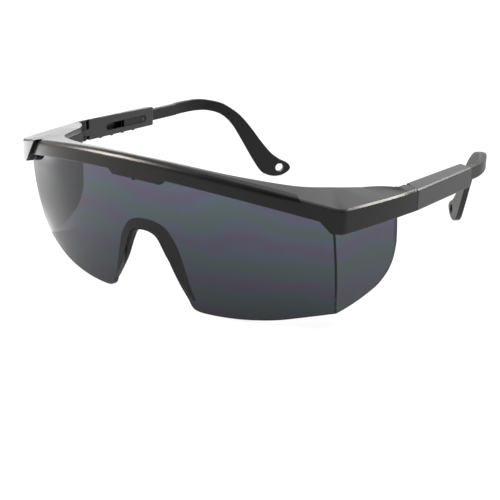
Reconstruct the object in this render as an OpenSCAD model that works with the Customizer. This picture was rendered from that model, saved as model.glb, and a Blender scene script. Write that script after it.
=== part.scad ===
// Wrap-around safety spectacles with a smoke lens and length-adjustable temples.
// X points to the wearer's left, Y to the back, Z up; millimetres.

/* [Brow frame] */
// half of the width between the two front top corners
front_half = 70; // [66:0.5:74]
// how far the brow bows forward at the middle
front_bow = 17.3; // [13:0.1:20]
// how far the brow arches up at the middle
front_arch = 8; // [5:0.1:10]
// thickness of the visor plate on top
visor_t = 2; // [1.6:0.1:2.6]
// depth of the visor plate at the middle
visor_mid = 3.2; // [3:0.1:6]
// height of the front skirt
skirt_h = 5.9; // [5:0.1:7]
// thickness of the front skirt
skirt_t = 1.5; // [1.2:0.1:2.4]
// how far the centre tab hangs below the skirt
tab_drop = 1.7; // [0.8:0.1:2.4]
// half width of the centre tab at its lower edge
tab_half = 9.9; // [7:0.1:12]
// how far the corner blocks stand out in front of the skirt
block_out = 1.4; // [0.8:0.1:1.8]
// where the slanted edge of the corner block starts at the top, from the middle
block_top = 57.5; // [55:0.1:59]
// where the slanted edge of the corner block ends at the bottom, from the middle
block_low = 66.6; // [64:0.1:67]
// how far the corner block hangs below the temple's lower edge
corner_drop = 0.6; // [0:0.1:1]

/* [Temples] */
// how far the temple stands out past the front corner
temple_flare = 6; // [4.5:0.1:8]
// thickness of the temple sleeve
sleeve_t = 4.6; // [4.4:0.1:5.4]
// height of the temple sleeve and of the frame's side arms
sleeve_h = 7.3; // [7:0.1:8.5]
// top of the temple sleeve
sleeve_top = 0.3; // [0:0.1:0.6]
// chamfer on the sleeve's upper outer edge
sleeve_ch = 0.6; // [0.2:0.1:0.9]
// visible seam between the frame and the sleeve, from the front corners
seam_y = 33.9; // [32:0.1:37]
// gap at the seam
seam_gap = 0.3; // [0.2:0.05:0.5]
// length of the sleeve
sleeve_len = 38.2; // [36:0.1:44]
// outer wall of the sleeve
wall_out = 1.2; // [1:0.05:1.4]
// inner wall of the sleeve, the one with the slot
wall_in = 0.9; // [0.8:0.05:1.1]
// distance from the seam to the front end of the slot
slot_from = 10.1; // [9.5:0.1:11]
// length of the slot
slot_len = 23.8; // [22:0.1:26]
// height of the slot
slot_h = 2.9; // [2.5:0.1:3.2]
// radius of the four grip bumps under the sleeve
bump_r = 0.9; // [0.6:0.05:1.2]
// spacing of the grip bumps
bump_pitch = 6.35; // [5.5:0.05:7]

/* [Ear pieces] */
// height of the sliding bar
bar_h = 4.9; // [4.5:0.1:5.2]
// running clearance round the bar
bar_fit = 0.15; // [0.1:0.01:0.2]
// how far the bar slides into the sleeve
slide_travel = 9.5; // [8:0.5:10.5]
// how far the left ear piece is pushed in at rest
left_in = 7; // [0:0.5:8]
// where the bar starts to bend inwards
bend_y = 88; // [84:0.5:94]
// radius of the inward bend
bend_r = 25; // [18:0.5:32]
// angle of the inward bend
bend_a = 40; // [30:1:45]
// length of the ear hook behind the bend
hook_reach = 38.6; // [34:0.1:42]
// depth of the ear hook below the front corners
hook_low = 36.2; // [32:0.1:40]
// radius of the cord hole in the ear tip
cord_r = 1.9; // [1.5:0.1:2.2]
// radius of the stop peg
peg_r = 0.9; // [0.7:0.05:1]

/* [Hinges] */
// radius of the hinge knuckle
knuckle_r = 1.6; // [1.5:0.05:1.8]
// radius of the hinge pin
pin_r = 0.7; // [0.5:0.05:0.8]
// clearance of the pin in the sleeve's tongue
pin_fit = 0.05; // [0.02:0.01:0.08]
// height of the upper frame lug
lug_up = 2.6; // [2.2:0.1:2.8]
// height of the sleeve's tongue
tongue_h = 2.7; // [2.4:0.1:3]
// gap above and below the tongue
tongue_gap = 0.15; // [0.1:0.01:0.2]
// gap round the tongue
tongue_room = 0.3; // [0.2:0.05:0.4]

/* [Lens and nose pad] */
// thickness of the lens
lens_t = 1.8; // [1.6:0.1:2.4]
// backward lean of the lens, in degrees
lens_lean = 6.5; // [4:0.1:9]
// gap between the skirt and the lens at the top of the brow
lens_gap = 0.06; // [0.04:0.01:0.2]
// depth of the lens below the front corners
lens_low = 43.4; // [41:0.1:46]
// flare of the side shields, in degrees
shield_flare = 10.5; // [9.5:0.1:11]
// rear end of the side shields
shield_back = 29.5; // [27:0.1:29.8]
// top of the nose notch below the front corners
notch_top = 18; // [16:0.1:20]
// half width of the nose notch at its foot
notch_half = 17.4; // [15:0.1:19]
// height of the nose pad's legs
notch_h = 23.2; // [20:0.1:24]
// thickness of the nose pad behind the lens
pad_t = 1.4; // [1.1:0.1:2.6]
// width of the nose pad at its widest
pad_w = 4.7; // [4:0.1:6]
// thickness of the pad's lip in the notch
lip_t = 0.8; // [0.5:0.05:1]

/* [Hidden] */
$fn = 96;
plan_r = (front_half * front_half + front_bow * front_bow) / (2 * front_bow);
plan_y = plan_r - front_bow;
arch_r = (front_half * front_half + front_arch * front_arch) / (2 * front_arch);
arch_z = front_arch - arch_r;
sleeve_low = sleeve_top - sleeve_h;
temple_out = front_half + temple_flare;
in_x = temple_out - sleeve_t;
hinge_x = in_x + knuckle_r;
hinge_y = seam_y - 0.15 - knuckle_r;
sleeve_y = seam_y + seam_gap;
sleeve_end = sleeve_y + sleeve_len;
tongue_top = sleeve_top - lug_up - tongue_gap;
tongue_low = tongue_top - tongue_h;
pin_top = sleeve_top - 0.8;
pin_len = pin_top - sleeve_low;
bar_x = in_x + wall_in + bar_fit;
cav_x = in_x + wall_in;
cav_w = sleeve_t - wall_in - wall_out;
bar_w = cav_w - 2 * bar_fit;
bar_top = sleeve_top - 0.9;
bar_low = bar_top - bar_h;
slot_y = seam_y + slot_from;
slot_end = slot_y + slot_len;
slot_z = sleeve_top - sleeve_h / 2;
rib_end = slot_end - 0.3;
rib_y = slot_y + slide_travel + slot_h / 2 - 0.4;
bar_y = rib_y - 0.8;
cav_y = bar_y - slide_travel - 0.8;
rib_h = slot_h - 0.24;
peg_y = rib_end - 1.75;
hook_x = bar_x + bar_w / 2 - bend_r * (1 - cos(bend_a));
hook_y = bend_y + bend_r * sin(bend_a);
lean = tan(lens_lean);
lens_r = plan_r - skirt_t - lens_gap - (front_arch - visor_t) * lean;
flare = tan(shield_flare);
side_x = front_half - 4.8;
hook_at = hook_y + 0.82 * hook_reach * cos(bend_a);
lens_at = plan_y - lens_r + lens_low * lean + 2.6;
pitch = atan2(lens_low - hook_low, hook_at - lens_at);
lift = lens_low * cos(pitch) + lens_at * sin(pitch) + 0.117;
mid_y = 57.62;

// points of a smooth curve through p, n steps a span
function curve(p, n) = [for (i = [0 : len(p) - 2]) for (k = [0 : n - 1])
    let (t = k / n, a = p[max(i - 1, 0)], b = p[i], c = p[i + 1], d = p[min(i + 2, len(p) - 1)])
    0.5 * (2 * b + (c - a) * t + (2 * a - 5 * b + 4 * c - d) * t * t
    + (3 * b - a - 3 * c + d) * t * t * t), p[len(p) - 1]];
function flip(p) = [for (i = [len(p) - 1 : -1 : 0]) [-p[i][0], p[i][1]]];
function both(p) = concat(flip(p), p);
function full(p) = concat([for (i = [len(p) - 1 : -1 : 1]) [-p[i][0], p[i][1]]], p);
function arch(x) = arch_z + sqrt(arch_r * arch_r - x * x);
function face(y) = side_x + (y - 1) * flare;

// moves everything from the wearer's frame to the resting pose
module rest() {
    translate([0, -mid_y, lift])
    rotate([-pitch, 0, 0])
    children();
}
module right() {
    mirror([1, 0, 0])
    children();
}
// extrudes an outline drawn in X and Z along Y
module along_y(y0, y1) {
    translate([0, y1, 0])
    rotate([90, 0, 0])
    linear_extrude(y1 - y0)
    children();
}
// extrudes an outline drawn in Y and Z along X
module along_x(x0, x1) {
    translate([x0, 0, 0])
    rotate([90, 0, 90])
    linear_extrude(x1 - x0)
    children();
}
module front_disc(r) {
    translate([0, plan_y])
    circle(r, $fn = 240);
}
module arch_disc(drop) {
    translate([0, arch_z - drop])
    circle(arch_r, $fn = 240);
}

// outer line of the frame's side arm in plan
arm_line = [for (k = [0 : 8]) let (t = k / 8)
    (1 - t) * (1 - t) * [front_half + 0.3, -2] + 2 * t * (1 - t) * [front_half + 4.4, seam_y / 2]
    + t * t * [temple_out, seam_y]];
module frame_plan() {
    intersection() {
        front_disc(plan_r + block_out);
        polygon(concat([[-front_half - 0.3, -30], [front_half + 0.3, -30]], arm_line, flip(arm_line)));
    }
}
// opening behind the visor plate in plan
brow_line = curve(full([[0, visor_mid - front_bow], [18, 1.6 + visor_mid - front_bow], [34, -8.7],
    [50, 0.6], [58, 12], [63.6, 22.2], [face(26.5) - 2.4, 26.9], [face(28.4), 28.4]]), 5);
// frame with its arched top, still solid
module frame_block() {
    intersection() {
        translate([0, 0, sleeve_low - 2])
        linear_extrude(30)
        frame_plan();
        along_x(-90, 90)
        polygon([[-40, sleeve_low - corner_drop], [2.5, sleeve_low - corner_drop], [seam_y - 5, sleeve_low],
            [60, sleeve_low], [60, 20], [-40, 20]]);
        along_y(-40, 60) {
            arch_disc(0);
            translate([front_half - 4, -30])
            square([30, 30 + sleeve_top]);
            translate([-front_half - 26, -30])
            square([30, 30 + sleeve_top]);
        }
    }
}
// hollow behind the skirt, under the visor plate and between the side arms
module frame_hollow() {
    intersection() {
        translate([0, 0, -30])
        linear_extrude(60)
        intersection() {
            front_disc(plan_r - skirt_t);
            polygon([[-face(-30), -30], [face(-30), -30], [face(60), 60], [-face(60), 60]]);
        }
        along_y(-50, 70)
        arch_disc(visor_t);
    }
}
block_k = (block_low - block_top) / (arch(block_top) - sleeve_low);
function block_x(z) = block_top + (arch(block_top) - z) * block_k;
// the part in front of the skirt, between the slanted edges of the corner blocks
module skirt_step() {
    difference() {
        along_y(-40, 4)
        polygon([[-block_x(12), 12], [block_x(12), 12], [block_x(-12), -12], [-block_x(-12), -12]]);
        translate([0, 0, -30])
        linear_extrude(60)
        front_disc(plan_r);
    }
}
// window below the skirt, with the centre tab and the corner blocks left standing
module skirt_window() {
    difference() {
        intersection() {
            arch_disc(skirt_h);
            polygon([[0.2 - block_x(4), 4], [block_x(4) - 0.2, 4], [block_x(-12) - 0.2, -12],
                [0.2 - block_x(-12), -12]]);
        }
        difference() {
            polygon([[-tab_half - 6.3, 4], [tab_half + 6.3, 4],
                [tab_half - 2.1, -1], [2.1 - tab_half, -1]]);
            arch_disc(skirt_h + tab_drop);
        }
        translate([-0.8, front_arch - skirt_h - tab_drop + 0.2])
        circle(0.7, $fn = 24);
    }
}
module hinge_cuts() {
    translate([in_x - 3, hinge_y, -20])
    difference() {
        cube([knuckle_r + 3, 9, 40]);
        translate([knuckle_r + 3, 0, -1])
        cylinder(r = knuckle_r, h = 50);
    }
    translate([in_x - 8.1, 28.8, -20])
    cube([8, 20, 40]);
    translate([0, 0, tongue_low - tongue_gap])
    linear_extrude(tongue_h + 2 * tongue_gap) {
        translate([hinge_x, hinge_y])
        circle(knuckle_r + tongue_room);
        translate([hinge_x - 1, hinge_y])
        square([1 + knuckle_r + tongue_room, 9]);
        translate([in_x - 9, hinge_y - knuckle_r - tongue_room])
        square([9 + knuckle_r, knuckle_r + tongue_room + 9]);
    }
    translate([hinge_x, hinge_y, sleeve_low - 1])
    cylinder(r = pin_r, h = pin_len + 1);
}
module brow_frame() {
    color("#2a282b")
    rest()
    difference() {
        frame_block();
        frame_hollow();
        translate([0, 0, -30])
        linear_extrude(60)
        polygon(concat(brow_line, [[face(28.4), 28.5], [face(60), 60],
            [-face(60), 60], [-face(28.4), 28.5]]));
        along_y(-40, 2)
        skirt_window();
        skirt_step();
        hinge_cuts();
        right()
        hinge_cuts();
    }
}

// solid of the lens' outer skin, drawn in by d
module lens_body(d) {
    intersection() {
        translate([0, plan_y, 0])
        rotate_extrude($fn = 240)
        polygon([[0, 20], [lens_r + 20 * lean - d, 20], [lens_r - 60 * lean - d, -60], [0, -60]]);
        linear_extrude(120, center = true)
        polygon([[-face(-30) + d, -30], [face(-30) - d, -30], [face(60) - d, 60], [-face(60) + d, 60]]);
    }
}
// nose notch: half width, depth, outward direction and the pad's share of its full width there
notch_pts = [[0, 0, 0, 1, 0.79], [4.6, 1.2, 0.6, 0.8, 0.9], [7.4, 5.4, 0.9, 0.44, 1],
    [10.6, 12, 0.87, 0.5, 0.83], [13.7, 17.2, 0.84, 0.54, 0.49], [16.5, 21.6, 0.84, 0.54, 0.15],
    [17.4, 23.2, 0.84, 0.54, 0.1]];
function notch_at(p, out) = [p[0] * notch_half / 17.4 + out * p[2],
    out * p[3] - notch_top - p[1] * notch_h / 23.2];
notch_line = curve(full([for (p = notch_pts) notch_at(p, 0)]), 4);
seat_line = curve(full(concat([for (p = notch_pts) notch_at(p, lip_t)],
    [[notch_half + 2.2, -lens_low - 2]])), 4);
pad_line = curve(full([for (p = notch_pts) notch_at(p, pad_w * p[4])]), 4);
low_line = curve([[17.2, -lens_low + 2.6], [19.4, -lens_low + 0.9], [22.8, -lens_low + 0.1],
    [28, -lens_low], [35, -lens_low + 0.4], [42, -lens_low + 1.2], [48.4, -lens_low + 2.3],
    [54.5, -lens_low + 4], [60.6, -lens_low + 5.6], [66.5, -lens_low + 7.6]], 4);
module lens_front() {
    difference() {
        intersection() {
            arch_disc(visor_t);
            polygon(both(concat(low_line, [[80, -lens_low + 7.6], [80, 20]])));
        }
        polygon(concat(seat_line, [[notch_half + 2.2, -60], [-notch_half - 2.2, -60]]));
    }
}
module lens_side() {
    low = curve([[5.2, -lens_low + 6.6], [10.6, -lens_low + 7.5], [15.2, -lens_low + 8.8],
        [20, -lens_low + 10.6], [shield_back - 5.3, -lens_low + 12.8],
        [shield_back - 2.1, -lens_low + 16.4], [shield_back - 0.5, -lens_low + 20.6],
        [shield_back, -lens_low + 26], [shield_back - 0.1, -lens_low + 33],
        [shield_back - 0.4, 20]], 4);
    polygon(concat([[-30, 20], [-30, -60], [2, -60], [2.2, -lens_low + 5]], low));
}
module wrap_lens() {
    color("#5a5d66")
    rest()
    intersection() {
        difference() {
            lens_body(0);
            lens_body(lens_t);
        }
        along_y(-40, 70)
        lens_front();
        along_x(-90, 90)
        lens_side();
    }
}
module nose_pad() {
    color("#282628")
    rest() {
        intersection() {
            difference() {
                lens_body(lens_t);
                lens_body(lens_t + pad_t);
            }
            along_y(-40, 10)
            difference() {
                polygon(pad_line);
                polygon(concat(notch_line, [[notch_half, -60], [-notch_half, -60]]));
            }
        }
        intersection() {
            difference() {
                lens_body(0.15);
                lens_body(lens_t + 0.4);
            }
            along_y(-40, 10)
            intersection() {
                difference() {
                    polygon(concat(seat_line, [[notch_half + 2.2, -60], [-notch_half - 2.2, -60]]));
                    polygon(concat(notch_line, [[notch_half, -60], [-notch_half, -60]]));
                }
                translate([-30, -notch_top - notch_h + 2.8])
                square([60, 40]);
            }
        }
    }
}

module hinge_pin() {
    translate([hinge_x, hinge_y, sleeve_low])
    cylinder(r = pin_r, h = pin_len);
}
module hinge_pin_left() {
    color("#9a9aa0")
    rest()
    hinge_pin();
}
module hinge_pin_right() {
    color("#9a9aa0")
    rest()
    right()
    hinge_pin();
}

module slot_shape(h, y0, y1, x0, x1) {
    translate([x0, y0 + h / 2, slot_z])
    rotate([0, 90, 0])
    cylinder(r = h / 2, h = x1 - x0);
    translate([x0, y1 - h / 2, slot_z])
    rotate([0, 90, 0])
    cylinder(r = h / 2, h = x1 - x0);
    translate([x0, y0 + h / 2, slot_z - h / 2])
    cube([x1 - x0, y1 - y0 - h, h]);
}
module temple_sleeve() {
    difference() {
        union() {
            along_y(sleeve_y, sleeve_end)
            polygon([[in_x, sleeve_low], [temple_out, sleeve_low],
                [temple_out, sleeve_top - sleeve_ch], [temple_out - sleeve_ch, sleeve_top],
                [in_x, sleeve_top]]);
            translate([hinge_x, hinge_y, tongue_low])
            cylinder(r = knuckle_r, h = tongue_h);
            translate([in_x, hinge_y, tongue_low])
            cube([2 * knuckle_r, sleeve_y - hinge_y + 0.5, tongue_h]);
            for (k = [0 : 3])
            translate([in_x + 0.3, sleeve_y + 6.8 + k * bump_pitch, sleeve_low + 0.5])
            rotate([0, 90, 0])
            cylinder(r = bump_r, h = sleeve_t - 0.6);
        }
        translate([cav_x, cav_y, bar_low - bar_fit])
        cube([cav_w, 60, bar_h + 2 * bar_fit]);
        slot_shape(slot_h, slot_y, slot_end, in_x - 1, cav_x + 0.5);
        translate([hinge_x, hinge_y, tongue_low - 1])
        cylinder(r = pin_r + pin_fit, h = tongue_h + 2);
    }
}
module temple_sleeve_left() {
    color("#4a484a")
    rest()
    temple_sleeve();
}
module temple_sleeve_right() {
    color("#4a484a")
    rest()
    right()
    temple_sleeve();
}

// a point of the hook's outline, from its share of the reach and of the depth
function hook_at_share(s, z) = [s * hook_reach, -z * hook_low];
hook_line = curve(concat([[-0.5, bar_top]], [for (p = [[0.145, 0.055], [0.275, 0.135], [0.394, 0.238],
    [0.523, 0.387], [0.642, 0.552], [0.762, 0.696], [0.87, 0.782], [0.974, 0.84], [1, 0.909],
    [0.933, 0.975], [0.824, 1], [0.72, 0.978], [0.637, 0.912], [0.528, 0.718], [0.409, 0.514],
    [0.285, 0.323], [0.155, 0.199]]) hook_at_share(p[0], p[1])], [[-0.5, bar_low]]), 4);
cord_at = hook_at_share(0.87, 0.89);
module ear_piece() {
    difference() {
        union() {
            translate([bar_x, bar_y, bar_low])
            cube([bar_w, bend_y - bar_y, bar_h]);
            difference() {
                slot_shape(rib_h, rib_y - 3, rib_end, in_x + 0.1, bar_x + 0.3);
                translate([in_x - 1, rib_y - 9, -20])
                cube([8, 9, 40]);
            }
            translate([bar_x + bar_w / 2 - bend_r, bend_y, 0])
            rotate_extrude(angle = bend_a)
            translate([bend_r - bar_w / 2, bar_low])
            square([bar_w, bar_h]);
            translate([hook_x, hook_y, 0])
            rotate(bend_a)
            along_x(-bar_w / 2, bar_w / 2)
            polygon(hook_line);
        }
        translate([hook_x, hook_y, 0])
        rotate(bend_a)
        translate([-5, cord_at[0], cord_at[1]])
        rotate([0, 90, 0])
        cylinder(r = cord_r, h = 10);
        translate([in_x - 1, peg_y, slot_z])
        rotate([0, 90, 0])
        cylinder(r = peg_r, h = 9);
    }
}
module ear_piece_left() {
    color("#232123")
    rest()
    translate([0, -left_in, 0])
    ear_piece();
}
module ear_piece_right() {
    color("#232123")
    rest()
    right()
    ear_piece();
}
module stop_peg() {
    translate([in_x + 0.02, peg_y, slot_z])
    rotate([0, 90, 0])
    cylinder(r = peg_r, h = bar_x + bar_w - in_x - 0.02);
}
module stop_peg_left() {
    color("#1c1b1d")
    rest()
    translate([0, -left_in, 0])
    stop_peg();
}
module stop_peg_right() {
    color("#1c1b1d")
    rest()
    right()
    stop_peg();
}

brow_frame();
wrap_lens();
nose_pad();
hinge_pin_left();
hinge_pin_right();
temple_sleeve_left();
temple_sleeve_right();
ear_piece_left();
ear_piece_right();
stop_peg_left();
stop_peg_right();
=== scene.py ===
import bpy
import numpy as np
from mathutils import Matrix


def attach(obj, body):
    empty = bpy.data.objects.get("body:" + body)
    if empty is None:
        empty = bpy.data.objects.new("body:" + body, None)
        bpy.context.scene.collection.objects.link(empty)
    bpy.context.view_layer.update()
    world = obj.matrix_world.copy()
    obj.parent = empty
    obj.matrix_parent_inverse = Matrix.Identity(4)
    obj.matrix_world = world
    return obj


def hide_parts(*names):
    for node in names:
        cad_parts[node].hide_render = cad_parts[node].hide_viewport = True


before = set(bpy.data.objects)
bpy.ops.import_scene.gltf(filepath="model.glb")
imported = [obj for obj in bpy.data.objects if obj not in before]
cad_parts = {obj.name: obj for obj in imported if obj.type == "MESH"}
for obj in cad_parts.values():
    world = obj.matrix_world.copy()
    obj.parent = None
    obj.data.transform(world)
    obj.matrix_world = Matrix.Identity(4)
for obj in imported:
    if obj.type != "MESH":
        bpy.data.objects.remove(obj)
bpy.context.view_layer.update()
scene = bpy.context.scene
scene.view_settings.view_transform = "Standard"

# Studio
# A white table top that runs out of sight, a bright wall behind and on the picture's left, and soft lamps.
# The camera stands in front of the left temple, a little above the spectacles.


def linear(hex_colour):
    """Linear RGBA of an sRGB hex colour: below 0.04045 a straight line, above it the 2.4 power."""
    c = np.array([int(hex_colour[i:i + 2], 16) for i in (1, 3, 5)]) / 255
    c = np.where(c <= 0.04045, c / 12.92, ((c + 0.055) / 1.055) ** 2.4)
    return (*c.tolist(), 1.0)


def add_node(tree, kind, sockets=None, **settings):
    """Adds a node, gives it its settings, and sets or links its input sockets."""
    made = tree.nodes.new(kind)
    for name, value in settings.items():
        setattr(made, name, value)
    for name, value in (sockets or {}).items():
        if isinstance(value, bpy.types.NodeSocket):
            tree.links.new(value, made.inputs[name])
        else:
            made.inputs[name].default_value = value
    return made


camera = bpy.data.objects.new("camera", bpy.data.cameras.new("camera"))
camera.data.sensor_width = 36
camera.data.lens = 79.92
camera.data.clip_start, camera.data.clip_end = 0.01, 20
camera.matrix_world = Matrix((
    (0.79928, -0.21086, 0.56275, 0.23711),
    (0.60088, 0.29655, -0.74231, -0.32588),
    (-0.01036, 0.93146, 0.36372, 0.15345),
    (0, 0, 0, 1)))
scene.collection.objects.link(camera)
scene.camera = camera

table_mesh = bpy.data.meshes.new("table_top")
half_table = 6.0  # m
table_mesh.from_pydata([(-half_table, -half_table, 0), (half_table, -half_table, 0),
                        (half_table, half_table, 0), (-half_table, half_table, 0)], [], [(0, 1, 2, 3)])
table_top = bpy.data.objects.new("table_top", table_mesh)
scene.collection.objects.link(table_top)
# matt white laminate: an even white that keeps a faint shadow under the lens
laminate = bpy.data.materials.new("matt white laminate")
laminate.use_nodes = True
tree = laminate.node_tree
tree.nodes.clear()
path = add_node(tree, "ShaderNodeLightPath")
seen = add_node(tree, "ShaderNodeMath", {0: path.outputs["Is Camera Ray"],
                                         1: path.outputs["Is Glossy Ray"]}, operation="MAXIMUM")
seen = add_node(tree, "ShaderNodeMath", {0: seen.outputs[0],
                                         1: path.outputs["Is Transmission Ray"]}, operation="MAXIMUM")
white_share = 0.86
share = add_node(tree, "ShaderNodeMath", {0: seen.outputs[0], 1: white_share}, operation="MULTIPLY")
matt = add_node(tree, "ShaderNodeBsdfDiffuse", {"Color": linear("#f2f2f2")})
glow = add_node(tree, "ShaderNodeEmission", {"Color": (1, 1, 1, 1), "Strength": 1.0})
both = add_node(tree, "ShaderNodeMixShader",
                {0: share.outputs[0], 1: matt.outputs[0], 2: glow.outputs[0]})
add_node(tree, "ShaderNodeOutputMaterial", {"Surface": both.outputs[0]})
table_mesh.materials.append(laminate)

# the room is brightest behind the spectacles and on the picture's left, and plain white where it is seen
world = bpy.data.worlds.new("studio")
world.use_nodes = True
scene.world = world
tree = world.node_tree
tree.nodes.clear()
path = add_node(tree, "ShaderNodeLightPath")
where = add_node(tree, "ShaderNodeTexCoord")
bright_wall = (-0.55, 0.75, 0.36)
side = add_node(tree, "ShaderNodeVectorMath", {0: where.outputs["Generated"], 1: bright_wall},
                operation="DOT_PRODUCT")
level = add_node(tree, "ShaderNodeMapRange", {"Value": side.outputs["Value"], "From Min": -0.7,
                                              "From Max": 0.6, "To Min": 0.10, "To Max": 1.15},
                 interpolation_type="SMOOTHSTEP")
level = add_node(tree, "ShaderNodeMath", {0: level.outputs[0], 1: path.outputs["Is Camera Ray"]},
                 operation="MAXIMUM")
sky = add_node(tree, "ShaderNodeBackground", {"Color": (1, 1, 1, 1), "Strength": level.outputs[0]})
add_node(tree, "ShaderNodeOutputWorld", {"Surface": sky.outputs[0]})

# each lamp's power in watts, its size, its place and the point that it faces in metres, and its colour
for name, power, size, place, aim, colour in (
        ("table_glow", 0.29, (0.175, 0.12), (-0.1625, -0.025, 0.001), (-0.1625, -0.026, 0.5), "#ffffff"),
        ("wall_panel", 1.5, (0.5, 0.35), (-0.80, 0.62, 0.28), (-0.04, 0.0, 0.04), "#ffffff"),
        ("top_panel", 4.4, (0.9, 0.9), (0.10, 0.15, 0.95), (0, 0, 0.02), "#ffffff"),
        ("back_panel", 0.45, (0.6, 0.3), (-0.05, 0.86, 0.50), (0.05, 0, 0.04), "#ffffff"),
        ("streak_lamp", 15.0, (0.36, 0.34), (-0.66, -0.45, 0.42), (-0.03, -0.065, 0.045), "#fff4e8"),
        ("edge_lamp", 8.0, (0.24, 0.24), (0.43, 0.615, 0.55), (0.073, -0.042, 0.043), "#fff8f0")):
    lamp = bpy.data.objects.new(name, bpy.data.lights.new(name, "AREA"))
    lamp.data.shape = "RECTANGLE"
    lamp.data.size, lamp.data.size_y = size
    lamp.data.energy = power
    lamp.data.color = linear(colour)[:3]
    lamp.visible_camera = lamp.visible_transmission = False
    back = np.subtract(place, aim)
    back = back / np.linalg.norm(back)
    across = np.cross((0, 0, 1), back)
    across = across / np.linalg.norm(across)
    turn = np.eye(4)
    turn[:3] = np.stack((across, np.cross(back, across), back, place), 1)
    lamp.matrix_world = Matrix(turn.tolist())
    scene.collection.objects.link(lamp)

# the glow fades out towards the front and towards the spectacles, so that what mirrors it shades off softly
glow = bpy.data.lights["table_glow"]
glow.use_nodes = True
tree = glow.node_tree
on_glow = add_node(tree, "ShaderNodeNewGeometry")
along = add_node(tree, "ShaderNodeSeparateXYZ", {"Vector": on_glow.outputs["Parametric"]})
fade = add_node(tree, "ShaderNodeMapRange", {"Value": along.outputs["Y"], "From Min": 0.0,
                                             "From Max": 0.36}, interpolation_type="SMOOTHSTEP")
rising = add_node(tree, "ShaderNodeMapRange", {"Value": along.outputs["X"], "From Min": 0.15,
                                               "From Max": 0.75, "To Min": 0.16},
                  interpolation_type="SMOOTHSTEP")
fade = add_node(tree, "ShaderNodeMath", {0: fade.outputs["Result"], 1: rising.outputs["Result"]},
                operation="MULTIPLY")
tree.links.new(fade.outputs[0], tree.nodes["Emission"].inputs["Strength"])

# Brow frame
# One black nylon moulding: visor plate, front skirt with a centre tab, corner blocks that stand
# proud of the skirt behind a slanted edge, and side arms that end in the hinge forks.

# sizes are in mm, on level spectacles: x to the left temple, y to the back, z up from near the temples' top
bow_r, bow_y = 150.2685, 132.9685  # radius and centre of the brow's curve seen from above
arch_r, arch_z = 310.25, -302.25  # radius and centre of the brow's arch seen from the front
temple_top, temple_low, temple_out = 0.3, -7.0, 76.0  # top, bottom and outer face of the temples
ridge_h = 1.3  # how far the inner edge of arms and sleeves rises over the outer one, at the hinge
hinge_x, hinge_y, lug_r, pin_r = 73.0, 32.15, 1.6, 0.7  # the left hinge's axis, its lugs and its pin
pitch, set_forward, set_up = np.radians(3.0343), 57.62, 43.0585  # how the spectacles stand on the table


def at_rest(points):
    """Points of the level spectacles, in mm, set down on the table, in metres: turned by the pitch about X,
    then moved so that the middle of the box stands over the origin."""
    x, y, z = np.moveaxis(np.asarray(points, float), -1, 0)
    c, s = np.cos(pitch), np.sin(pitch)
    return np.stack((x, y * c + z * s - set_forward, z * c - y * s + set_up), -1) / 1000


def through(points, s):
    """Smooth curve through points at fractional index s: a cubic in each span, whose slope at a point is
    half the step between its two neighbours."""
    p = np.asarray(points, float)
    i = np.clip(np.floor(s).astype(int), 0, len(p) - 2)
    t = (s - i)[..., None]
    a, b, c, d = p[np.maximum(i - 1, 0)], p[i], p[i + 1], p[np.minimum(i + 2, len(p) - 1)]
    return 0.5 * (2 * b + (c - a) * t + (2 * a - 5 * b + 4 * c - d) * t ** 2
                  + (3 * b - a - 3 * c + d) * t ** 3)


def parabola(a, b, c, t):
    """Parabola from a to c that sets out towards b: a (1 - t)^2 plus b 2 t (1 - t) plus c t^2."""
    return (1 - t) ** 2 * a + 2 * t * (1 - t) * b + t ** 2 * c


def carried(corners, radii, between):
    """Closed sections for a path. Each corner becomes a parabola of five points that starts and ends a
    radius away along its two sides, and each side gets a number of evenly spaced points."""
    before, after = np.roll(corners, 1, 1) - corners, np.roll(corners, -1, 1) - corners
    far_b = np.maximum(np.linalg.norm(before, axis=-1, keepdims=True), 1e-9)
    far_a = np.maximum(np.linalg.norm(after, axis=-1, keepdims=True), 1e-9)
    r = np.asarray(radii, float)[..., :, None]
    start = corners + before / far_b * np.minimum(r, 0.45 * far_b)
    end = corners + after / far_a * np.minimum(r, 0.45 * far_a)
    t = np.linspace(0, 1, 5)[:, None]
    bend = parabola(start[:, :, None], corners[:, :, None], end[:, :, None], t)
    rows = []
    for i, n in enumerate(between):
        w = (np.arange(1, n + 1) / (n + 1))[:, None]
        rows += [bend[:, i], end[:, None, i] * (1 - w) + start[:, None, (i + 1) % len(between)] * w]
    return np.concatenate(rows, 1)


def skin(name, rings):
    """Closed surface over rings of points, in mm: point (i, j) is joined to (i, j + 1) round the ring and
    to (i + 1, j) along the path, and the first and last ring are filled. Faces point outwards."""
    m, n = rings.shape[:2]
    at = np.arange(m * n).reshape(m, n)
    on = np.roll(at, -1, 1)
    quads = np.stack((at[:-1], on[:-1], on[1:], at[1:]), -1).reshape(-1, 4)
    p = rings.reshape(-1, 3) - rings.mean((0, 1))
    a, b, c, d = np.moveaxis(p[quads], 1, 0)
    inward = np.sum(np.cross(b - a, c - a) * a + np.cross(c - a, d - a) * a) < 0
    faces = [*quads.tolist(), at[0, ::-1].tolist(), at[-1].tolist()]
    if inward:
        faces = [f[::-1] for f in faces]
    mesh = bpy.data.meshes.new(name)
    mesh.from_pydata(at_rest(rings).reshape(-1, 3).tolist(), [], faces)
    made = bpy.data.objects.new(name, mesh)
    scene.collection.objects.link(made)
    return made


def fuse(piece, other, how):
    """Cuts another closed surface out of a piece, or joins it on, and keeps the result as the mesh."""
    step = piece.modifiers.new(how, "BOOLEAN")
    step.operation, step.object, step.solver = how, other, "EXACT"
    graph = bpy.context.evaluated_depsgraph_get()
    old, piece.data = piece.data, bpy.data.meshes.new_from_object(piece.evaluated_get(graph))
    piece.modifiers.clear()
    for used in (old, other.data):
        bpy.data.meshes.remove(used)


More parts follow.
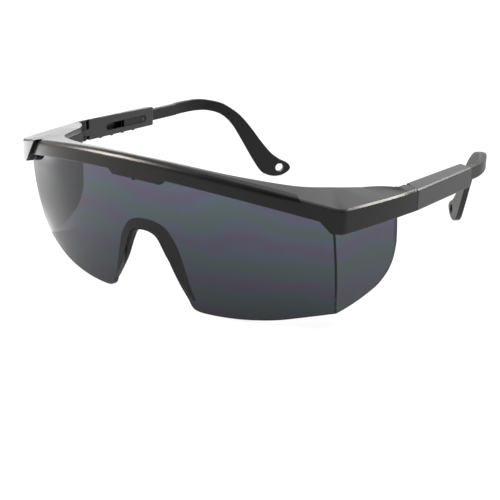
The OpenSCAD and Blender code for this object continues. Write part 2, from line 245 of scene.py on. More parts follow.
def finished(piece, material, body, slot, *nodes):
    """Shades a piece smooth up to its edges, gives it its material and ties it to the frame."""
    mesh = piece.data
    mesh.polygons.foreach_set("use_smooth", np.ones(len(mesh.polygons), bool))
    mesh.set_sharp_from_angle(angle=np.radians(35))
    piece.modifiers.new("flat faces stay flat", "WEIGHTED_NORMAL").keep_sharp = True
    mesh.materials.clear()
    mesh.materials.append(material)
    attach(piece, body)
    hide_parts(*nodes)


def rod(name, axis_from, axis_to, radius):
    """Round rod: circles of 48 points about the two ends of its axis."""
    a, b = np.asarray(axis_from, float), np.asarray(axis_to, float)
    way = (b - a) / np.linalg.norm(b - a)
    u = np.cross(way, (0.3, 0.5, 0.8))
    u = u / np.linalg.norm(u)
    turn = np.linspace(0, 2 * np.pi, 48, endpoint=False)[:, None]
    ring = radius * (np.cos(turn) * u + np.sin(turn) * np.cross(way, u))
    return skin(name, np.stack((a + ring, b + ring)))


def brow_height(x):
    """Top of the frame: the arch's circle, but nowhere below the temples' top."""
    return np.maximum(arch_z + np.sqrt(arch_r ** 2 - x ** 2), temple_top)


def shield_x(y):
    """Outer face of the side shields: a plane 65.2 mm from the middle at y = 1, that flares by 10.5
    degrees."""
    return 65.2 + (y - 1) * np.tan(np.radians(10.5))


def on_bow(x, r):
    """Plan point on a circle of radius r about the brow's centre."""
    return np.stack((x, bow_y - np.sqrt(r ** 2 - x ** 2)), -1)


def lift(xy, z):
    """Plan points raised to heights."""
    return np.concatenate((xy, np.broadcast_to(z, len(xy))[:, None]), 1)


skirt_h, skirt_t, visor_t = 5.9, 1.5, 2.0  # the skirt's height and wall, and the visor's thickness
tab_half, tab_ramp, tab_h = 12.6, 2.6, 1.7  # half width, slanted end and height of the centre tab
block_out, block_drop = 1.4, 0.6  # how far the corner block stands out of the skirt and hangs below the arm
block_low, corner_x = temple_low - block_drop, 70.3  # the block's lower edge and its upright corner
block_top, slant_end = 57.5, 66.6  # the block's slanted edge, at the top and at the temples' bottom
block_slope = (slant_end - block_top) / (brow_height(block_top) - temple_low)
slant_low = block_top + block_slope * (brow_height(block_top) - block_low)
# the visor's inner edge seen from above, as a smooth line through these points
brow_line = [(0, -14.1), (18, -12.5), (34, -8.7), (50, 0.6), (58, 12), (63.6, 22.2),
             (67.4, 26.4), (71.2, 28.4)]
brow_s = np.linspace(0, len(brow_line) - 1, 701)
brow_at = through(brow_line, brow_s)

# skirt columns, from the middle to the slanted edge; they lean with that edge as they near it
skirt_x = np.concatenate((np.arange(0, 2, 0.1), np.arange(2, 9, 1.0), np.arange(9, 14, 0.26),
                          np.arange(14, 48, 1.5), np.arange(48, 57.3, 0.6), [57.45]))
low_x = skirt_x.copy()
for _ in range(12):
    tab = np.clip((tab_half - low_x) / tab_ramp, 0, 1)
    low_z = brow_height(low_x) - skirt_h - tab_h * tab * tab * (3 - 2 * tab)
    low_x = skirt_x + block_slope * (brow_height(skirt_x) - low_z) * (skirt_x / block_top) ** 8
# corner block columns, by their share of the way from the slanted edge to the upright corner
way = np.array([0, 0.025, 0.06, 0.12, 0.2, 0.3, 0.4, 0.5, 0.6, 0.7, 0.8, 0.88, 0.945])
top_x = np.concatenate((skirt_x, (1 - way) * block_top + way * corner_x))
low_x = np.concatenate((low_x, (1 - way) * slant_low + way * corner_x))
low_z = np.concatenate((low_z, np.full_like(way, block_low)))
far = bow_r + np.concatenate((np.zeros_like(skirt_x), np.minimum(block_out, 1.15 + 10 * way)))
top_xy, low_xy = on_bow(top_x, far), on_bow(low_x, far)
# the inner wall follows the skirt, and in the blocks it runs to the hollow's own corner
bow_centre = np.array((0, bow_y))
shrink = ((bow_r - skirt_t) / far)[:, None]
hollow_x, hollow_corner, wall_lean = 57, np.array((64.85, -0.90)), np.array((1.85, 0))
in_low = bow_centre + (low_xy - bow_centre) * shrink
in_top = bow_centre + (top_xy - bow_centre) * shrink
to_corner = np.concatenate((np.zeros_like(skirt_x), way))[:, None]
low_corner = hollow_corner + wall_lean
in_low = np.where(in_low[:, :1] > hollow_x, in_low * (1 - to_corner) + low_corner * to_corner, in_low)
in_top = np.where(in_top[:, :1] > hollow_x, in_top * (1 - to_corner) + hollow_corner * to_corner, in_top)
# place of the front columns on the brow line, by point number
front_s = np.concatenate((np.interp(skirt_x, (0, 18, 34, 57.45), (0, 1, 2, 3.05)), 3.05 + 0.85 * way))

# upright corner, softened in plan, then the side arm along its own curve
turn_t = np.linspace(0, 1, 6)[:, None]
turn_xy = parabola(on_bow(np.array([69.6]), bow_r + block_out), np.array((corner_x, -1.42)),
                   np.array((70.70, -0.11)), turn_t)
arm_curve = parabola(np.array((corner_x, -2)), np.array((74.4, 16.95)), np.array((temple_out, 33.9)),
                     np.linspace(0, 1, 401)[:, None])
arm_y = np.concatenate((np.linspace(0.6, 28.4, 26),
                        [28.75, 28.85, 29.5, 30.2, 30.3, 30.5, 30.8, 31.2, 31.6, 32.15, 32.6, 33.0,
                         33.35, 33.6, 33.74, 33.9]))
arm_xy = np.stack((np.interp(arm_y, arm_curve[:, 1], arm_curve[:, 0]), arm_y), -1)
n_turn, n_arm = len(turn_t), len(arm_y)
# the arm is hollow as far as its end wall; then two lugs with a round gap between them take the tongue
visor_end, wall_end, fork_from, lug_in, gap_r = 28.41, 28.8, 30.25, 71.3, 1.9
arm_in = np.where(arm_y < wall_end, shield_x(arm_y), lug_in)
lug = hinge_x - np.sqrt(np.maximum(lug_r ** 2 - np.maximum(arm_y - hinge_y, 0) ** 2, 0))
arm_in = np.where(arm_y > hinge_y, lug, arm_in)
gap = np.where(arm_y < fork_from, arm_in,
               hinge_x + np.sqrt(gap_r ** 2 - np.clip(hinge_y - arm_y, 0, gap_r) ** 2))
# place of the arm's columns on the brow line, by point number
arm_s = np.where(arm_y < 13, 4.05 + 0.05 * arm_y / 13, np.interp(arm_y, brow_at[:, 1], brow_s))
side_xy = np.concatenate((turn_xy, arm_xy))
side_in = np.concatenate((np.repeat(hollow_corner[None], n_turn, 0), np.stack((arm_in, arm_y), -1)))
side_low = np.concatenate((np.full(n_turn, block_low),
                           temple_low - block_drop * np.clip((28.9 - arm_y) / 26.4, 0, 1)))
top_xy, low_xy = np.concatenate((top_xy, side_xy)), np.concatenate((low_xy, side_xy))
# the inner wall of the arms leans outwards, down to the lens' side shields
side_lean = np.concatenate((np.ones(n_turn), arm_y < wall_end))[:, None] * wall_lean
in_top, in_low = np.concatenate((in_top, side_in)), np.concatenate((in_low, side_in + side_lean))
low_z = np.concatenate((low_z, side_low))

# heights of the visor's inner edge, which stays above the outer one as far as the hinge
before_arm = np.zeros(len(top_xy) - n_arm, bool)
past_visor = np.concatenate((before_arm, arm_y > visor_end))
forked = np.concatenate((before_arm, arm_y > fork_from))
edge_xy = through(brow_line, np.concatenate((front_s, np.linspace(3.9, 4.05, n_turn), arm_s)))
edge_xy = np.where(past_visor[:, None], in_top, edge_xy)
ridge = temple_top + ridge_h * np.clip((temple_out - edge_xy[:, 0]) / 4.7, 0, 1)
edge_top = np.maximum(brow_height(edge_xy[:, 0]), ridge)
edge_low = np.where(past_visor, -0.6, edge_top - visor_t)
under = np.where(past_visor, -0.9, brow_height(in_top[:, 0]) - visor_t)
# two lines on the inner wall; in the fork they are the gap's floor and ceiling and go in to its bottom
slot_low = np.where(forked, -5.3, low_z + 0.3 * (under - low_z))
slot_top = np.where(forked, -2.3, low_z + 0.75 * (under - low_z))
mid_low = in_low + 0.3 * (in_top - in_low)
mid_top = in_low + 0.75 * (in_top - in_low)
deep_low, deep_top = mid_low.copy(), mid_top.copy()
deep_low[forked, 0] = deep_top[forked, 0] = gap[forked[-n_arm:]]
outer_top = lift(top_xy, brow_height(top_xy[:, 0]))
inward, down = lift(edge_xy, edge_top) - outer_top, lift(low_xy, low_z) - outer_top
# the upper outer edge is cut off: broad and rounded on the skirt, narrow and crisp on blocks and arms
on_skirt = np.arange(len(top_xy)) < len(skirt_x)
cut = np.where(on_skirt, 1.3, 0.65)[:, None]
cut_top = outer_top + cut * inward / np.linalg.norm(inward, axis=1)[:, None]
cut_front = outer_top + cut * down / np.linalg.norm(down, axis=1)[:, None]
half = np.stack((lift(edge_xy, edge_top), cut_top, cut_front, lift(low_xy, low_z), lift(in_low, low_z),
                 lift(mid_low, slot_low), lift(deep_low, slot_low), lift(deep_top, slot_top),
                 lift(mid_top, slot_top), lift(in_top, under), lift(edge_xy, edge_low)), 1)
whole = np.concatenate((half[:0:-1] * (-1, 1, 1), half))
# a small gate nub hangs from the tab, just right of the middle
nub_x, nub_r, nub_h = -0.8, 0.7, 0.5
low_line = whole[:, 3, 0]
nub = np.clip(1 - ((low_line - nub_x) / nub_r) ** 2, 0, 1) ** 0.5 * (np.abs(low_line) < 3)
whole[:, 3:5, 2] -= nub_h * nub[:, None]
radii = np.tile((0.5, 0.15, 0.15, 0.5, 0.25, 0.05, 0.05, 0.05, 0.05, 0.3, 0.4), (len(half), 1))
radii[on_skirt, 1:3] = 1.2
rings = carried(whole, np.concatenate((radii[:0:-1], radii)), (8, 0, 6, 1, 1, 1, 2, 1, 1, 3, 1))
# between its two edges the visor's top is straight, and would sag below the arch: it is raised to it
visor_top = slice(5, 13)
top_at = rings[:, visor_top, 0]
arch = np.where(np.abs(top_at) < 69, brow_height(top_at), -9)
rings[:, visor_top, 2] = np.maximum(rings[:, visor_top, 2], arch)
brow_frame = skin("brow_frame_moulding", rings)
for sign in (-1, 1):
    bore = rod("pin_bore", (hinge_x * sign, hinge_y, -8), (hinge_x * sign, hinge_y, -0.5), pin_r)
    fuse(brow_frame, bore, "DIFFERENCE")

# Black nylon 66, injection moulded in a polished tool: deep black with a soft gloss, faint flow mottle
# a few millimetres wide, and a fine tool grain of about 0.2 mm, drawn at 0.5 mm so that it shows.
nylon = bpy.data.materials.new("black nylon, polished mould")
nylon.use_nodes = True
tree = nylon.node_tree
gloss = tree.nodes["Principled BSDF"]
where = add_node(tree, "ShaderNodeTexCoord")
flow = add_node(tree, "ShaderNodeTexNoise", {"Vector": where.outputs["Object"], "Scale": 1 / 0.007,
                                             "Detail": 3.0})
tone = add_node(tree, "ShaderNodeValToRGB", {"Fac": flow.outputs["Fac"]})
darker, lighter = tone.color_ramp.elements
darker.position, lighter.position = 0.3, 0.7
darker.color, lighter.color = linear("#090809"), linear("#0f0e0f")
rough = add_node(tree, "ShaderNodeMapRange", {"Value": flow.outputs["Fac"], "To Min": 0.24,
                                              "To Max": 0.34})
grain = add_node(tree, "ShaderNodeTexNoise", {"Vector": where.outputs["Object"], "Scale": 1 / 0.0005,
                                              "Detail": 2.0})
relief = add_node(tree, "ShaderNodeBump", {"Height": grain.outputs["Fac"], "Strength": 0.03,
                                           "Distance": 0.00005})
tree.links.new(tone.outputs["Color"], gloss.inputs["Base Color"])
tree.links.new(rough.outputs["Result"], gloss.inputs["Roughness"])
tree.links.new(relief.outputs["Normal"], gloss.inputs["Normal"])
gloss.inputs["IOR"].default_value = 1.34
finished(brow_frame, nylon, "front", "frame", "brow_frame")

# Wrap lens
# One smoke polycarbonate moulding, 1.8 mm thick: a leaning front panel with the nose notch, and a side
# shield behind a sharp crease at each end, which bulges a little. Its upper edge sits behind the skirt.

lens_t, seat_gap = 1.8, 0.05  # wall, and the gap that it keeps from the frame
rear_y, rear_top_y = 29.5, 28.5  # rear edge of the side shields, below and beside the arms


def cone_r(z):
    """Radius of the lens' outer face at a height: a cone, 148 mm at height 0, that leans by 6.5 degrees."""
    return 148.0 + z * np.tan(np.radians(6.5))


def crease(z, depth):
    """Plan point where the cone meets the shield's plane, at a depth behind the outer face."""
    x = np.full_like(z, 65.0)
    for _ in range(30):
        y = bow_y - np.sqrt((cone_r(z) - depth) ** 2 - x ** 2)
        x = shield_x(y) - seat_gap - depth
    return x, y


def panel(u, z, depth):
    """Point of the front panel: u runs from crease to crease, along circles about the brow's centre."""
    x = u * crease(z, depth)[0]
    return np.stack((x, bow_y - np.sqrt((cone_r(z) - depth) ** 2 - x ** 2), z), -1)


def shield(v, z, depth):
    """Point of a side shield: v runs straight from the crease to the rear edge, which clears the arm's
    end wall at the top."""
    y = crease(z, depth)[1] * (1 - v) + np.where(z > block_low, rear_top_y, rear_y) * v
    return np.stack((shield_x(y) - seat_gap - depth, y, z), -1)


def stand(z):
    """How far the creases stand out from cone and plane at a height: a parabola with its top of 1.72 mm at
    height -12, which falls to nothing behind the arms."""
    return (1.72 - 0.0048 * (z + 12) ** 2) * np.clip((-1.7 - z) / 5.9, 0, 1)


# lower edge of the panel, from the bridge round the notch to the crease, seen from the front
panel_foot = [(0, -17.2), (5.08, -18.56), (8.12, -23.05), (11.05, -29.75), (13.85, -35.1), (16.6, -39.5),
              (17.6, -41.6), (19.1, -42.9), (22.2, -43.4), (28, -43.4), (35, -43), (42, -42.2),
              (48.4, -41.1), (54.5, -39.6), (60.6, -38.1), (67, -36.6)]
low_edge = through(panel_foot, np.linspace(0, len(panel_foot) - 1, 600))
# lower and rear edge of a shield, from the crease round to the arm, seen from the side
shield_foot = [(5.2, -37), (10.6, -35.9), (15.2, -34.6), (20, -32.8), (24.2, -30.6), (27.4, -27),
               (29, -22.8), (rear_y, -17.4)]
tail_edge = through(shield_foot, np.linspace(0, len(shield_foot) - 1, 400))
# columns of the panel, close together along the notch
foot_half, head_half, crease_y = 65.8, 65.0, 5.6  # half width at the lower and upper edge, crease's foot
u = np.concatenate((np.linspace(0, 4, 6)[:-1], np.arange(4, 22, 0.4), np.linspace(22, 66, 40))) / 66
u = np.concatenate((-u[:0:-1], u))
foot = np.interp(np.abs(u) * foot_half, *low_edge.T)
head = brow_height(np.abs(u) * head_half) - visor_t - seat_gap
front = np.stack((panel(u, head, 0), panel(u, foot, 0),
                  panel(u, foot, lens_t), panel(u, head, lens_t)), 1)
# columns of a shield, close together at its rear edge
v = 1 - (1 - np.linspace(0, 1, 36)[1:]) ** 2
tail_y = crease_y * (1 - v) + rear_y * v
foot = np.maximum(np.interp(tail_y, *tail_edge.T), foot[-1])
head = brow_height(shield_x(tail_y)) - visor_t - seat_gap
left_side = np.stack((shield(v, head, 0), shield(v, foot, 0),
                      shield(v, foot, lens_t), shield(v, head, lens_t)), 1)
whole = np.concatenate((left_side[::-1] * (-1, 1, 1), front, left_side))
rings = carried(whole, (0.12, 0.35, 0.35, 0.12), (24, 0, 24, 0))
# the creases bulge outwards and forwards; the panel follows with the sixth power of u, the shield as a
# whole outwards and forwards with 1 - v
out_share, forward_share = 0.9, 0.62
sideways = np.concatenate((-np.ones_like(v), np.sign(u) * u ** 6, np.ones_like(v)))[:, None]
forwards = np.concatenate((1 - v[::-1], u ** 6, 1 - v))[:, None]
rings[..., 0] += out_share * sideways * stand(rings[..., 2])
rings[..., 1] -= forward_share * forwards * stand(rings[..., 2])
wrap_lens = skin("smoke_lens", rings)

# Smoke-tinted polycarbonate, injection moulded and hard coated: clear grey with a mirror-smooth face.
# Moulding stress shows as weak bands that waver from violet to green and back every 14 mm, and painted
# shade makes the tint darker towards the lower edge, for the darker view through the lens' lower part.
smoke = bpy.data.materials.new("smoke polycarbonate, hard coated")
smoke.use_nodes = True
tree = smoke.node_tree
glass = tree.nodes["Principled BSDF"]
where = add_node(tree, "ShaderNodeTexCoord")
wave_turn = 0.314  # the wave texture goes through one cycle in this length at scale 1
stress = add_node(tree, "ShaderNodeTexWave", {"Vector": where.outputs["Object"], "Scale": wave_turn / 0.014,
                                              "Distortion": 6.0, "Detail": 2.0, "Detail Scale": 1.4},
                  wave_type="BANDS", bands_direction="Z", wave_profile="SIN")
tint = add_node(tree, "ShaderNodeValToRGB", {"Fac": stress.outputs["Fac"]})
violet, green = tint.color_ramp.elements
violet.color, green.color = linear("#494556"), linear("#414d4f")
middle = tint.color_ramp.elements.new(0.5)
middle.color = linear("#434c5b")
# painted shade: the tint is scaled from 0.30 at the lens' lower edge up to 1.34 at its top, so the lower
# part is painted darker
height = add_node(tree, "ShaderNodeSeparateXYZ", {"Vector": where.outputs["Object"]})
depth = add_node(tree, "ShaderNodeMapRange", {"Value": height.outputs["Z"], "From Min": 0.002,
                                              "From Max": 0.046, "To Min": 0.30, "To Max": 1.34})
tint = add_node(tree, "ShaderNodeVectorMath", {0: tint.outputs["Color"], "Scale": depth.outputs["Result"]},
                operation="SCALE")
tree.links.new(tint.outputs["Vector"], glass.inputs["Base Color"])
glass.inputs["Transmission Weight"].default_value = 1.0
glass.inputs["IOR"].default_value = 1.34
glass.inputs["Roughness"].default_value = 0.02
finished(wrap_lens, smoke, "front", "lens", "wrap_lens")

# Nose pad
# A black elastomer band moulded over the notch: it lies behind the lens, widest beside the bridge, and
# a thin lip comes forward through the notch over the cut edge. The lip runs out below the bridge.

# down one side of the notch: its edge's x and drop below the bridge, the outward direction in x and z
# there, and the share of the band's full width
notch = np.array([(0, 0, 0, 1, 0.79), (4.6, 1.2, 0.6, 0.8, 0.9), (7.4, 5.4, 0.9, 0.44, 1),
                  (10.6, 12, 0.87, 0.5, 0.83), (13.7, 17.2, 0.84, 0.54, 0.49),
                  (16.5, 21.6, 0.84, 0.54, 0.2), (17.4, 23.2, 0.84, 0.54, 0.18)])
round_notch = np.linspace(0.6, 11.4, 121)  # from one foot of the band to the other, by point number
bridge_z, pad_w, lip_w = -18, 4.7, 0.72  # the notch's top, the band's full width and the lip's


def notch_line(out):
    """Line round the notch, seen from the front, a distance outside its edge; it is smooth through points
    that are moved along their own outward directions."""
    x, z = notch[:, 0] + out * notch[:, 2], out * notch[:, 3] + bridge_z - notch[:, 1]
    one_side = np.stack((x, z), -1)
    return through(np.concatenate((one_side[:0:-1] * (-1, 1), one_side)), round_notch)


def behind(line, depth):
    """Points of a line pressed onto the lens' cone at a depth behind its outer face."""
    x, z = line[:, 0], line[:, 1]
    return np.stack((x, bow_y - np.sqrt((cone_r(z) - depth) ** 2 - x ** 2), z), -1)


# towards the feet the inner edge draws back behind the lens; the lip's front goes back there as well
taper = np.array((0, 0, 0, 0, 0.15, 0.45, 0.95))
inner, lip_out = notch_line(taper), notch_line(np.maximum(taper + 0.15, lip_w))
wide = notch_line(np.maximum(pad_w * notch[:, 4], taper + 0.3))
lip = 0.15 + 1.5 * np.clip((-25 - inner[:, 1]) / 10, 0, 1)
on_lens, rear_out, rear_in = lens_t + seat_gap, 3.1, 3.2  # depths behind the lens' outer face
band = np.stack((behind(inner, lip), behind(lip_out, lip), behind(lip_out, on_lens), behind(wide, on_lens),
                 behind(wide, rear_out), behind(inner, rear_in)), 1)
nose_pad = skin("nose_pad_band", carried(band, (0.3, 0.2, 0.05, 0.3, 0.6, 0.6), (2, 1, 2, 1, 4, 2)))

# Black thermoplastic elastomer, moulded: soft and matt, with a fine skin grain of about 0.4 mm.
rubber = bpy.data.materials.new("black elastomer, matt")
rubber.use_nodes = True
tree = rubber.node_tree
matt = tree.nodes["Principled BSDF"]
where = add_node(tree, "ShaderNodeTexCoord")
grain = add_node(tree, "ShaderNodeTexNoise", {"Vector": where.outputs["Object"], "Scale": 1 / 0.0004,
                                              "Detail": 3.0})
tone = add_node(tree, "ShaderNodeValToRGB", {"Fac": grain.outputs["Fac"]})
darker, lighter = tone.color_ramp.elements
darker.color, lighter.color = linear("#030303"), linear("#060506")
rough = add_node(tree, "ShaderNodeMapRange", {"Value": grain.outputs["Fac"], "To Min": 0.5,
                                              "To Max": 0.65})
relief = add_node(tree, "ShaderNodeBump", {"Height": grain.outputs["Fac"], "Strength": 0.2,
                                           "Distance": 0.00006})
tree.links.new(tone.outputs["Color"], matt.inputs["Base Color"])
tree.links.new(rough.outputs["Result"], matt.inputs["Roughness"])
tree.links.new(relief.outputs["Normal"], matt.inputs["Normal"])
matt.inputs["IOR"].default_value = 1.27
finished(nose_pad, rubber, "front", "pad", "nose_pad")

# Hinge pins
# Plain steel pins, pressed through both lugs of the frame's fork; the temple's tongue turns on them.
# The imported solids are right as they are, so they only get their metal.

# Cold-drawn steel: bright grey, with draw lines along the pin about 0.1 mm apart.
steel = bpy.data.materials.new("drawn steel")
steel.use_nodes = True
tree = steel.node_tree
metal = tree.nodes["Principled BSDF"]
where = add_node(tree, "ShaderNodeTexCoord")
along = add_node(tree, "ShaderNodeMapping", {"Vector": where.outputs["Object"], "Scale": (1, 1, 0.05)})
drawn = add_node(tree, "ShaderNodeTexNoise", {"Vector": along.outputs["Vector"], "Scale": 1 / 0.0001})
rough = add_node(tree, "ShaderNodeMapRange", {"Value": drawn.outputs["Fac"], "To Min": 0.25,
                                              "To Max": 0.42})
tone = add_node(tree, "ShaderNodeValToRGB", {"Fac": drawn.outputs["Fac"]})
darker, lighter = tone.color_ramp.elements
darker.color, lighter.color = linear("#8d8d92"), linear("#b4b4b8")
tree.links.new(tone.outputs["Color"], metal.inputs["Base Color"])
tree.links.new(rough.outputs["Result"], metal.inputs["Roughness"])
metal.inputs["Metallic"].default_value = 1.0
for name in ("hinge_pin_left", "hinge_pin_right"):
    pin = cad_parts[name]
    pin.data.materials.clear()
    pin.data.materials.append(steel)

# Temple sleeves
# Hollow front halves of the temples, in the same black nylon from a finely sparked tool: a hinge tongue
# in front, a channel for the bar, a slot in the inner wall and four grip bumps below.

in_x, sleeve_y, sleeve_end, bevel = 71.4, 34.2, 72.4, 0.6  # inner face, both ends, cut upper outer edge
bump_r, bump_z = 0.9, -6.5  # the grip bumps are parts of short rods that lie across the bottom
bumps = sleeve_y + 6.8 + 6.35 * np.arange(4)
# columns of the sleeve, close together at the bumps and at both ends
columns = np.concatenate((np.linspace(sleeve_y, sleeve_end, 40),
                          (bumps[:, None] + np.linspace(-0.76, 0.76, 13)).ravel(),
                          sleeve_y + np.array((0.06, 0.2)), sleeve_end - np.array((0.06, 0.2, 0.5))))
y = np.unique(np.round(columns, 4))
dip = bump_r ** 2 - (y[:, None] - bumps) ** 2
below = dip > (temple_low - bump_z) ** 2
low = np.minimum(temple_low, np.min(bump_z - np.sqrt(np.maximum(dip, 0)) * below, 1))
# the ends are drawn in a little, which rounds their edges
pull = 0.18 * np.clip(1 - (y - sleeve_y) / 0.2, 0, 1) ** 2
pull = pull + 0.3 * np.clip(1 - (sleeve_end - y) / 0.5, 0, 1) ** 2
rise = np.interp(y, (sleeve_y, 60, sleeve_end), (ridge_h, 0.8, 0.5))
section = ((in_x + pull, temple_top + rise - pull), (temple_out - bevel - 0.4 * pull, temple_top - pull),
           (temple_out - pull, temple_top - bevel - 0.4 * pull), (temple_out - pull, temple_low + pull),
           (np.full_like(y, in_x + 2.3), temple_low + pull), (np.full_like(y, in_x + 2.1), low + pull),
           (in_x + pull, low + pull))
body = np.stack([np.stack((x, y, z), -1) for x, z in section], 1)
body_rings = carried(body, (0.4, 0.22, 0.22, 0.45, 0.08, 0.15, 0.4), (2, 0, 5, 2, 0, 2, 5))
# the tongue fills the fork with 0.15 mm of play above and below, and reaches into the sleeve's front
tongue_low, tongue_top, tongue_end = -5.15, -2.45, 34.8
turn = np.radians(np.linspace(0, -180, 25))
tongue = np.concatenate((np.stack((hinge_x + lug_r * np.cos(turn), hinge_y + lug_r * np.sin(turn)), -1),
                         [(hinge_x - lug_r, tongue_end), (hinge_x + lug_r, tongue_end)]))
tongue_rings = np.stack((lift(tongue, tongue_low), lift(tongue, tongue_top)))
# the channel is open at the rear; the slot has round ends and goes through the inner wall into it
channel = np.array([(72.3, -0.45), (74.8, -0.45), (74.8, -5.65), (72.3, -5.65)])
channel_rings = np.stack([np.insert(channel, 1, at, 1) for at in (43.45, 90.0)])
slot_front, slot_rear, slot_r, slot_z = 45.45, 66.35, 1.45, -3.35  # centres of its ends, radius, height
half_turn = np.radians(np.linspace(-90, 90, 25))
round_end = np.stack((np.cos(half_turn), np.sin(half_turn)), -1)
slot_yz = np.concatenate(((slot_rear, slot_z) + slot_r * round_end,
                          (slot_front, slot_z) - slot_r * round_end))
slot_rings = np.stack([np.insert(slot_yz, 0, at, 1) for at in (70.5, 73.0)])

# Black nylon from a sparked tool: a little greyer and more matt than the frame, with a 0.3 mm texture,
# drawn at 0.6 mm so that it shows.
satin = bpy.data.materials.new("black nylon, sparked mould")
satin.use_nodes = True
tree = satin.node_tree
sheen = tree.nodes["Principled BSDF"]
where = add_node(tree, "ShaderNodeTexCoord")
spark = add_node(tree, "ShaderNodeTexNoise", {"Vector": where.outputs["Object"], "Scale": 1 / 0.0006,
                                              "Detail": 3.0})
tone = add_node(tree, "ShaderNodeValToRGB", {"Fac": spark.outputs["Fac"]})
darker, lighter = tone.color_ramp.elements
darker.color, lighter.color = linear("#131214"), linear("#1c1b1d")
rough = add_node(tree, "ShaderNodeMapRange", {"Value": spark.outputs["Fac"], "To Min": 0.3,
                                              "To Max": 0.42})
relief = add_node(tree, "ShaderNodeBump", {"Height": spark.outputs["Fac"], "Strength": 0.07,
                                           "Distance": 0.00006})
tree.links.new(tone.outputs["Color"], sheen.inputs["Base Color"])
tree.links.new(rough.outputs["Result"], sheen.inputs["Roughness"])
tree.links.new(relief.outputs["Normal"], sheen.inputs["Normal"])
sheen.inputs["IOR"].default_value = 1.48

pin_play = 0.05  # the tongue turns freely on its pin
for name, sign in (("left", 1), ("right", -1)):
    flip = np.array((sign, 1, 1))
    sleeve = skin("temple_sleeve_body_" + name, body_rings * flip)
    fuse(sleeve, skin("tongue", tongue_rings * flip), "UNION")
    bore = rod("bore", (hinge_x * sign, hinge_y, -9), (hinge_x * sign, hinge_y, 2), pin_r + pin_play)
    fuse(sleeve, bore, "DIFFERENCE")
    fuse(sleeve, skin("channel", channel_rings * flip), "DIFFERENCE")
    fuse(sleeve, skin("slot", slot_rings * flip), "DIFFERENCE")
    finished(sleeve, satin, "sleeve_" + name, "sleeve", "temple_sleeve_" + name)

# Ear pieces
# Sliding rear halves of the temples, one black nylon strip each: a bar with a rib that runs in the
# slot, a bend inwards, and a broad hook with a hole for a neck cord.

bar_x, bar_half, bar_top, bar_low, bar_front = 73.55, 1.1, -0.6, -5.5, 53.75  # the bar and its front end
bend_y, bend_r, bend_a = 88.0, 25.0, np.radians(40)  # where the bend starts, its radius and its angle
hook_reach, hook_drop = 38.6, 36.2  # the hook's tip, from the end of the bend
# outline seen from the side, from the bar's top round the tip to its bottom; the hook's own points are
# shares of its reach and drop
hook = [(a * hook_reach, -b * hook_drop) for a, b in (
    (0.145, 0.045), (0.275, 0.118), (0.394, 0.216), (0.523, 0.376), (0.642, 0.545), (0.762, 0.694),
    (0.87, 0.782), (0.974, 0.84), (1, 0.909), (0.933, 0.975), (0.824, 1), (0.72, 0.978), (0.637, 0.92),
    (0.528, 0.745), (0.409, 0.526), (0.285, 0.316), (0.155, 0.19))]
outline = [(-26, bar_top), (-18, -0.45), (-10, 0), (-3, 0.1)] + hook + [
    (0, -4.95), (-6, -4.75), (-12, -5.1), (-18, -5.42), (-26, bar_low)]
edge = through(outline, np.linspace(0, len(outline) - 1, 1801))
tip = int(np.argmax(edge[:, 0]))
upper, under_edge = edge[:tip + 1], edge[tip:][::-1]
# columns along the bar, round the bend and down the hook, close together at both ends; the last one
# stands just short of the tip, where the strip would have no height
bar_s = np.concatenate((bar_front + np.array((0, 0.1, 0.25)), np.linspace(54.5, bend_y, 30)))
turn = np.linspace(0, bend_a, 25)[1:]
hook_s = edge[tip, 0] * (1 - (1 - np.linspace(0, 1, 90)[1:]) ** 1.8)
hook_s[-1] = edge[tip, 0] - 0.004
hook_at = np.array((bar_x - bend_r * (1 - np.cos(bend_a)), bend_y + bend_r * np.sin(bend_a)))
hook_way = np.array((-np.sin(bend_a), np.cos(bend_a)))
line = np.concatenate((np.stack((np.full_like(bar_s, bar_x), bar_s), -1),
                       np.stack((bar_x - bend_r * (1 - np.cos(turn)), bend_y + bend_r * np.sin(turn)), -1),
                       hook_at + hook_s[:, None] * hook_way))
facing = np.concatenate((np.zeros_like(bar_s), turn, np.full_like(hook_s, bend_a)))
thick = bar_half * np.stack((np.cos(facing), np.sin(facing)), -1)
past_bar = np.concatenate((bend_r * (turn - bend_a), hook_s))
high = np.concatenate((np.full_like(bar_s, bar_top), np.interp(past_bar, *upper.T)))
deep = np.concatenate((np.full_like(bar_s, bar_low), np.interp(past_bar, *under_edge.T)))
nose_in = 0.4 * np.clip(1 - (line[:, 1] - bar_front) / 0.25, 0, 1) ** 2
strip = np.stack((lift(line - thick, high - nose_in), lift(line + thick, high - nose_in),
                  lift(line + thick, deep + nose_in), lift(line - thick, deep + nose_in)), 1)
strip_rings = carried(strip, (0.55, 0.55, 0.55, 0.55), (1, 6, 1, 6))
# the rib is round at the rear, where it holds the stop peg
rib_front, rib_rear, rib_r, peg_y, peg_bore_r = 54.55, 66.17, 1.33, 65.75, 1.08
rib_yz = np.concatenate(((rib_rear, slot_z) + rib_r * round_end,
                         [(rib_front, slot_z + rib_r), (rib_front, slot_z - rib_r)]))
rib_rings = np.stack([np.insert(rib_yz, 0, at, 1) for at in (71.52, 73.0)])
hole_at, hole_z, cord_hole_r = hook_at + 0.87 * hook_reach * hook_way, -0.89 * hook_drop, 1.9
hole_way = np.array((np.cos(bend_a), np.sin(bend_a)))

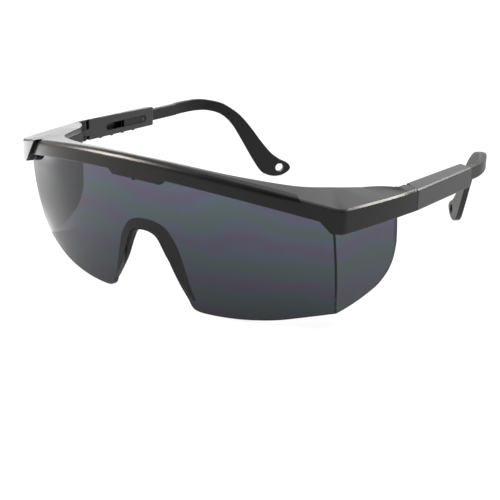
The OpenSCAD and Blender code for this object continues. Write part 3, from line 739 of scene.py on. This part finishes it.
# Black nylon from a sparked tool like the sleeves', but the deeper black of a thicker piece, with flow
# mottle about 6 mm wide and the same texture, drawn at 0.6 mm so that it shows.
deep_black = bpy.data.materials.new("black nylon, thick section")
deep_black.use_nodes = True
tree = deep_black.node_tree
sheen = tree.nodes["Principled BSDF"]
where = add_node(tree, "ShaderNodeTexCoord")
flow = add_node(tree, "ShaderNodeTexNoise", {"Vector": where.outputs["Object"], "Scale": 1 / 0.006,
                                             "Detail": 4.0})
tone = add_node(tree, "ShaderNodeValToRGB", {"Fac": flow.outputs["Fac"]})
darker, lighter = tone.color_ramp.elements
darker.color, lighter.color = linear("#0b0a0b"), linear("#111011")
rough = add_node(tree, "ShaderNodeMapRange", {"Value": flow.outputs["Fac"], "To Min": 0.34,
                                              "To Max": 0.46})
spark = add_node(tree, "ShaderNodeTexNoise", {"Vector": where.outputs["Object"], "Scale": 1 / 0.0006})
relief = add_node(tree, "ShaderNodeBump", {"Height": spark.outputs["Fac"], "Strength": 0.07,
                                           "Distance": 0.00006})
tree.links.new(tone.outputs["Color"], sheen.inputs["Base Color"])
tree.links.new(rough.outputs["Result"], sheen.inputs["Roughness"])
tree.links.new(relief.outputs["Normal"], sheen.inputs["Normal"])
sheen.inputs["IOR"].default_value = 1.36

# at rest the left one is pushed in by 7 mm
for name, sign, pushed in (("left", 1, 7.0), ("right", -1, 0.0)):
    flip, slide = np.array((sign, 1, 1)), np.array((0, -pushed, 0))
    ear = skin("ear_strip_" + name, strip_rings * flip + slide)
    fuse(ear, skin("rib", rib_rings * flip + slide), "UNION")
    ends = [lift((hole_at + k * hole_way)[None], hole_z)[0] * flip + slide for k in (-4, 4)]
    fuse(ear, rod("cord_hole", *ends, cord_hole_r), "DIFFERENCE")
    ends = [(x * sign, peg_y - pushed, slot_z) for x in (71.0, 73.2)]
    fuse(ear, rod("peg_bore", *ends, peg_bore_r), "DIFFERENCE")
    finished(ear, deep_black, "ear_" + name, "ear", "ear_piece_" + name)

# Stop pegs
# Small round acetal pegs, pressed into the ribs; they meet the slot's rear end and keep the ear pieces
# in the sleeves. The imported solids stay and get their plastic.

# Black acetal, turned: smooth and slightly waxy, with fine tool marks about 0.2 mm wide.
acetal = bpy.data.materials.new("black acetal, turned")
acetal.use_nodes = True
tree = acetal.node_tree
waxy = tree.nodes["Principled BSDF"]
where = add_node(tree, "ShaderNodeTexCoord")
turned = add_node(tree, "ShaderNodeTexNoise", {"Vector": where.outputs["Object"], "Scale": 1 / 0.0002})
tone = add_node(tree, "ShaderNodeValToRGB", {"Fac": turned.outputs["Fac"]})
darker, lighter = tone.color_ramp.elements
darker.color, lighter.color = linear("#0f0e10"), linear("#1a191b")
rough = add_node(tree, "ShaderNodeMapRange", {"Value": turned.outputs["Fac"], "To Min": 0.28,
                                              "To Max": 0.4})
tree.links.new(tone.outputs["Color"], waxy.inputs["Base Color"])
tree.links.new(rough.outputs["Result"], waxy.inputs["Roughness"])
waxy.inputs["IOR"].default_value = 1.48
for name in ("stop_peg_left", "stop_peg_right"):
    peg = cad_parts[name]
    peg.data.materials.clear()
    peg.data.materials.append(acetal)
